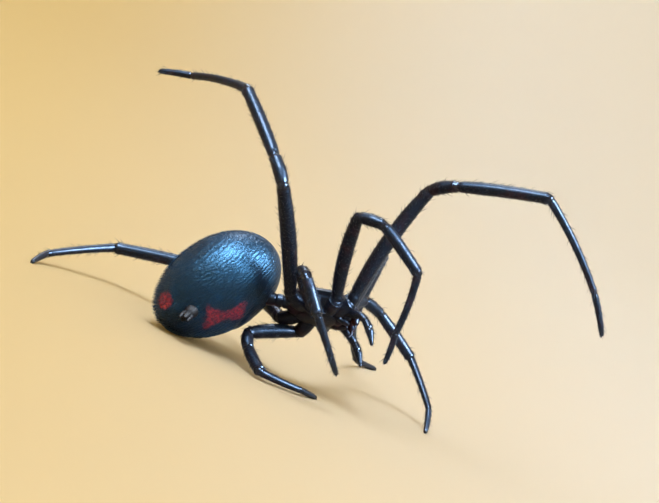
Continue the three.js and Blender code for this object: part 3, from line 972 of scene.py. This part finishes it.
def mark_leg(piece, joints):
    """Stores which way the hair lies, toward the toe, and how close the next joint is"""
    points = points_of(piece.data)
    best = np.full(len(points), 1e9)
    lie = np.zeros_like(points)
    near_joint = np.zeros(len(points))
    for a, b in zip(joints, joints[1:]):
        length = np.linalg.norm(b - a)
        ahead = (b - a) / length
        reach = np.clip((points - a) @ ahead, 0, length)
        gap = np.linalg.norm(points - a - np.outer(reach, ahead), axis=1)
        closer = gap < best
        best[closer] = gap[closer]
        lie[closer] = ahead
        near_joint[closer] = bell(np.minimum(reach, length - reach), 0.16)[closer]
    store(piece, "lie", lie)
    store(piece, "joint", near_joint)


leg_pieces = []
for leg in LEG_POSES:
    piece = leg_skin(leg)
    nodes = [f"leg_{leg}_{part}" for part in ("femur", "tibia", "tarsus")]
    leg_pieces.append(dress(piece, cuticle, nodes))

# %% [markdown]
# ## The head pieces
# Below the eyes hang the two chelicerae, upright and slightly spread, each with a short curved
# fang. A feeler (palp) of four lengths arches forward and down beside each of them. The eyes
# are small lenses in two rows, each in its low mound.

# %% Chelicerae and fangs
CHELICERA_LENGTH = 1.15
CHELICERA_RADIUS = 0.28
CHELICERA_SIDE = 0.39
CHELICERA_PROFILE = ((0, 0.95), (0.25, 1.06), (0.55, 1.0), (0.9, 0.84), (1, 0.76))
FANG_RADIUS = 0.09
FANG_TURNS = np.radians([-4, -14, -26, -40])
FANG_STEP = 0.125
FANG_TAPER = 0.72


def chelicera_shells(side):
    top = np.array([CARAPACE_LENGTH / 2 - 0.05, side * CHELICERA_SIDE, -0.12])
    down = unit([0.16, side * 0.03, -1])
    foot = top + down * (CHELICERA_LENGTH - 2 * CHELICERA_RADIUS + 0.13)
    shells = [tube(top, foot, CHELICERA_PROFILE, (1, 0, 0), bow=0.05, scale=CHELICERA_RADIUS,
                   sides=32, steps=14)]
    moves = [unit([math.sin(turn), -side * 0.14, -math.cos(turn)]) * FANG_STEP
             for turn in FANG_TURNS]
    shells += hook(foot + down * CHELICERA_RADIUS * 0.45, moves, FANG_RADIUS * 1.15, FANG_TAPER,
                   FANG_TAPER, (1, 0, 0), sides=16, steps=4)
    return [moved(shell, FRONT) for shell in shells]


head_pieces = []
for side_name, sign in (("left", 1), ("right", -1)):
    piece = fused(f"chelicera_with_fang_{side_name}", chelicera_shells(sign))
    lie_along(piece, unit(FRONT.to_3x3() @ Vector((0.1, 0, -1))))
    head_pieces.append(dress(piece, fang_chitin, [f"chelicera_{side_name}"]))

# %% Palps
PALP_START = (1.5, 0.8, -0.62)
PALP_LENGTHS = (0.75, 0.45, 0.55, 0.9)
PALP_RADII = (0.2, 0.23, 0.22, 0.24, 0.12)
PALP_POSE = ((38, -12), (15, -45), (0, -62), (-8, -75))
PALP_ROOT = 0.35


def palp_skin(side_name, sign):
    ways = [heading_way(heading * sign, rise) for heading, rise in PALP_POSE]
    place = on_side(PALP_START, sign)
    joints = [place - ways[0] * PALP_ROOT]
    for way, length in zip(ways, PALP_LENGTHS):
        place = place + way * length
        joints.append(place)
    shells = []
    for i, (a, b) in enumerate(zip(joints, joints[1:])):
        near, far = PALP_RADII[i], PALP_RADII[i + 1]
        profile = [(0, near * 0.85), (0.12, near), (0.85, far), (1, far * 0.88)]
        shells.append(tube(a, b, profile, (1, 0, 1), bow=0.02, sides=20, steps=10, cap=0.9))
    placed_joints = [np.array(FRONT @ Vector(joint)) for joint in joints]
    shells = [moved(shell, FRONT) for shell in shells]
    ahead = unit(placed_joints[-1] - placed_joints[-2])
    shells += claw_shells(placed_joints[-1] + ahead * 0.03, ahead, 0.7)[:3]
    piece = fused(f"palp_skin_{side_name}", shells)
    mark_leg(piece, placed_joints)
    return piece


for side_name, sign in (("left", 1), ("right", -1)):
    piece = palp_skin(side_name, sign)
    head_pieces.append(dress(piece, cuticle, [f"palp_{side_name}"]))

# %% Eyes
EYE_RADIUS = 0.1

for eye in EYES:
    for side_name in ("left", "right"):
        node = f"{eye}_{side_name}"
        lens = moved(sphere(EYE_RADIUS, 28, 18), Matrix.Translation(middle_of(node)))
        dress(single(f"{node}_lens", lens), eye_lens, [node])

# %% [markdown]
# ## Bristles
# Every part of her is haired: short, fine bristles that lean toward the tip of each leg and
# toward the rear of the abdomen. They repeat by the thousand, which is work for Geometry
# Nodes. Points are scattered on a skin, each gets one thin bent cone that leans along the
# skin's stored lie, and the instances are made real, because an export drops instances. Each
# cone also gets a tiny patch of the map OFBake, at its root's place on an unwrap of the skin.

# %% A bristle tree
BRISTLE_PATCH = 0.003
BRISTLE_INPUTS = {"Geometry": "Geometry", "Density": "Float", "Length": "Float",
                  "Radius": "Float", "Lean": "Float", "Bend": "Float", "Seed": "Int",
                  "Finish": "Material"}
JITTER = 0.16
SIZE_RANGE = {2: 0.65, 3: 1.2}


def bristle_tree():
    tree = bpy.data.node_groups.new("bristles", "GeometryNodeTree")
    add = partial(add_node, tree)
    face = tree.interface
    for name, kind in BRISTLE_INPUTS.items():
        face.new_socket(name, in_out="INPUT", socket_type="NodeSocket" + kind)
    face.new_socket("Geometry", in_out="OUTPUT", socket_type="NodeSocketGeometry")
    given = add("NodeGroupInput", (), None).outputs
    kept = {name: add("GeometryNodeInputNamedAttribute", {"Name": name}, "Attribute",
                      data_type="FLOAT" if name == "fur" else "FLOAT_VECTOR")
            for name in ("fur", "lie", "skin_map", "leaf")}
    density = add(MATH, (given["Density"], kept["fur"]), operation="MULTIPLY")
    roots = add("GeometryNodeDistributePointsOnFaces",
                {"Mesh": given["Geometry"], "Density": density, "Seed": given["Seed"]}, None,
                distribute_method="RANDOM").outputs
    way = add(VECTOR, {0: kept["lie"], "Scale": given["Lean"]}, operation="SCALE")
    jitter = add("FunctionNodeRandomValue",
                 {0: (-JITTER,) * 3, 1: (JITTER,) * 3, "Seed": given["Seed"]},
                 data_type="FLOAT_VECTOR")
    for part in (roots["Normal"], jitter):
        way = add(VECTOR, (way, part), operation="ADD")
    upright = add("FunctionNodeAlignRotationToVector", {"Vector": way}, axis="Z")
    turned = add("FunctionNodeAlignRotationToVector", {"Rotation": upright, "Vector": kept["lie"]},
                 axis="X", pivot_axis="Z")
    scale = add("FunctionNodeRandomValue", {**SIZE_RANGE, "Seed": given["Seed"]}, 1,
                data_type="FLOAT")
    spots = add("GeometryNodeInstanceOnPoints",
                {"Points": roots["Points"], "Instance": one_bristle(add, given),
                 "Rotation": turned, "Scale": scale})
    real = add("GeometryNodeRealizeInstances", (spots,))
    patch = add(VECTOR, {0: kept["leaf"], "Scale": BRISTLE_PATCH}, operation="SCALE")
    root = add(VECTOR, (kept["skin_map"], patch), operation="ADD")
    mapped = add("GeometryNodeStoreNamedAttribute",
                 {"Geometry": real, "Name": "OFBake", "Value": root},
                 data_type="FLOAT2", domain="CORNER")
    rounded = add("GeometryNodeSetShadeSmooth", (mapped,))
    finish = add("GeometryNodeSetMaterial", {"Geometry": rounded, "Material": given["Finish"]})
    add("NodeGroupOutput", (finish,), None)
    return tree


def one_bristle(add, given):
    """A thin cone that bends to +X, with its own small flat map kept under the name leaf"""
    cone = add("GeometryNodeMeshCone",
               {"Vertices": 3, "Side Segments": 2, "Fill Segments": 1, "Radius Top": 0.0,
                "Radius Bottom": given["Radius"], "Depth": given["Length"]}, "Mesh",
               fill_type="NGON")
    position = add("GeometryNodeInputPosition")
    height = add("ShaderNodeSeparateXYZ", (position,), "Z")
    share = add(MATH, (height, given["Length"]), operation="DIVIDE")
    aside = add(MATH, (share, height), operation="MULTIPLY")
    aside = add(MATH, (aside, given["Bend"]), operation="MULTIPLY")
    offset = add("ShaderNodeCombineXYZ", {"X": aside})
    bent = add("GeometryNodeSetPosition", {"Geometry": cone, "Offset": offset})
    flat = add(VECTOR, (position,), operation="NORMALIZE")
    half = add(VECTOR, {0: flat, "Scale": 0.5}, operation="SCALE")
    return add("GeometryNodeStoreNamedAttribute", {"Geometry": bent, "Name": "leaf", "Value": half},
               data_type="FLOAT_VECTOR", domain="POINT")


BRISTLE_TREE = bristle_tree()
print("bristle tree:", len(BRISTLE_TREE.nodes), "nodes")


# %% Growing bristles on skins
SEAM_ANGLE = math.radians(66)
SEAM_MARGIN = 0.003
BARE_BELOW = 1.6  # bristles start above their own length and are full at this many lengths


def unwrapped_host(name, skins):
    """A joined copy of some skins, with its own unwrap in the map skin_map"""
    host = add_object(name, skins[0].data.copy())
    copies = [add_object(f"{name}_{i}", skin.data.copy()) for i, skin in enumerate(skins[1:])]
    bpy.ops.object.select_all(action="DESELECT")
    for piece in [host, *copies]:
        piece.select_set(True)
    bpy.context.view_layer.objects.active = host
    if copies:
        bpy.ops.object.join()
    for layer in list(host.data.uv_layers):
        host.data.uv_layers.remove(layer)
    host.data.uv_layers.new(name="skin_map")
    bpy.ops.object.mode_set(mode="EDIT")
    bpy.ops.mesh.select_all(action="SELECT")
    bpy.ops.uv.smart_project(angle_limit=SEAM_ANGLE, island_margin=SEAM_MARGIN)
    bpy.ops.object.mode_set(mode="OBJECT")
    return host


def grow(name, skins, finish, slot, seed, density, length, radius, lean, bend):
    """A coat of bristles on skins. density is per square millimetre, sizes in millimetres."""
    host = unwrapped_host(name + "_host", skins)
    store(host, "fur", smooth(points_of(host.data)[:, 2], length, BARE_BELOW * length))
    modifier = host.modifiers.new("bristles", "NODES")
    modifier.node_group = BRISTLE_TREE
    sockets = {item.name: item.identifier for item in BRISTLE_TREE.interface.items_tree
               if item.in_out == "INPUT"}
    values = {"Density": density / MM ** 2, "Length": length * MM, "Radius": radius * MM,
              "Lean": lean, "Bend": bend, "Seed": seed, "Finish": finish}
    for key, value in values.items():
        modifier[sockets[key]] = value
    ready = host.evaluated_get(bpy.context.evaluated_depsgraph_get())
    mesh = bpy.data.meshes.new_from_object(ready)
    mesh.name = name
    bpy.data.objects.remove(host)
    dress(add_object(name, mesh), None, [])


CHELICERAE, PALPS = head_pieces[:2], head_pieces[2:]
# Each row has its name, skins, finish, slot, seed, density, length, radius, lean and bend.
COATS = (
    ("abdomen_hairs", [abdomen], hair, "abdomen_skin", 3, 140, 0.22, 0.009, 1.5, 0.35),
    ("leg_bristles", leg_pieces, bristle, "cuticle", 5, 58, 0.18, 0.009, 1.3, 0.3),
    ("leg_setae", leg_pieces, bristle, "cuticle", 8, 6, 0.38, 0.014, 0.9, 0.25),
    ("front_body_bristles", [front_body], bristle, "cuticle", 11, 30, 0.16, 0.009, 1.0, 0.3),
    ("palp_bristles", PALPS, bristle, "cuticle", 14, 60, 0.2, 0.01, 0.9, 0.3),
    ("chelicera_bristles", CHELICERAE, bristle, "chelicera_cuticle", 17, 26, 0.15, 0.008, 1.0, 0.3),
    ("spinneret_hairs", [spinnerets], bristle, "spinneret_skin", 20, 70, 0.14, 0.007, 0.8, 0.3),
)
for coat in COATS:
    grow(*coat)

# %% [markdown]
# ## Floor, backdrop and light
# She stands on a pale warm floor that curves up into a round wall, so that no edge shows from
# any side. Its paper is yellower on one side. One broad light from above and a weak one from
# the left light it all. Black chitin shows little but mirror images, so three more lights are
# seen in gloss alone: they draw the bluish glints along her legs and leave the paper as it is.


# %% Stage
PAPER_YELLOW = colour("#e4cd95")
PAPER_CREAM = colour("#f1eee6")
PAPER_DEPTH = 0.08
PAPER_EDGE = {"From Min": -0.03, "From Max": 0.04}
AIR_TINT = colour("#fff9ef")
AIR_STRENGTH = 0.69


def stage_profile(radius=0.2, bend=0.35, height=0.9, steps=20):
    rows = [(0.02 * radius, 0.0), (radius, 0.0)]
    for i in range(1, steps + 1):
        turn = math.radians(90 * i / steps)
        rows.append((radius + bend * math.sin(turn), bend * (1 - math.cos(turn))))
    rows.append((radius + bend, height))
    return rows


def stage_mesh(sides=96):
    rows = stage_profile()
    turns = [2 * math.pi * i / sides for i in range(sides)]
    points = [(0.0, 0.0, 0.0)] + [(radius * math.cos(turn), radius * math.sin(turn), height)
                                  for radius, height in rows for turn in turns]
    faces = [face[::-1] for face in rings_to_faces(len(rows), sides)[:-sides]]
    mesh = bpy.data.meshes.new("studio_floor")
    mesh.from_pydata(points, [], faces)
    mesh.shade_smooth()
    return mesh


def paper_material():
    material, add, shader, place = new_material("backdrop_paper_cream",
                                                **{"Roughness": 0.9, "Specular IOR Level": 0.0})
    paler_way = LEVEL + PAPER_DEPTH * Vector((-BACK.x, -BACK.y, 0))
    side = add(VECTOR, (place, tuple(paler_way)), "Value", operation="DOT_PRODUCT")
    share = add(RANGE, {"Value": side, **PAPER_EDGE}, **SOFT)
    base = add(MIX, {0: share, 6: PAPER_YELLOW, 7: PAPER_CREAM}, 2, **COLOURS)
    plug_in(shader, Base_Color=base)
    return material


floor = add_object("studio_floor", stage_mesh())
floor.data.materials.append(paper_material())


def area_light(name, away, power, size, tint, gloss_only=False):
    """A square light that looks at the spider, so many millimetres away along a direction"""
    lamp = bpy.data.lights.new(name, "AREA")
    lamp.energy = power
    lamp.size = size * MM
    lamp.color = colour(tint)[:3]
    piece = add_object(name, lamp)
    place = VIEW_TARGET + away
    piece.matrix_world = (Matrix.Translation(place * MM)
                          @ away.normalized().to_track_quat("Z", "Y").to_matrix().to_4x4())
    piece.visible_diffuse = not gloss_only


area_light("sky_window", UP * 620 + BACK * 260 + RIGHT * 100, 2.4, 260, "#eef4ff")
area_light("fill_left", BACK * 560 - RIGHT * 420 + UP * 220, 0.5, 160, "#dfeaff")
area_light("glint_front", BACK * 280 + UP * 540 - RIGHT * 10, 28.0, 300, "#e0f0ff", True)
area_light("glint_right", RIGHT * 520 + UP * 120 + BACK * 250, 80.0, 380, "#dcecff", True)
area_light("glint_rear", UP * 520 - BACK * 300 + RIGHT * 60, 3.5, 220, "#dcebff", True)

world = bpy.data.worlds.new("studio_air")
world.use_nodes = True
air = world.node_tree.nodes["Background"].inputs
air["Color"].default_value = AIR_TINT
air["Strength"].default_value = AIR_STRENGTH
scene.world = world
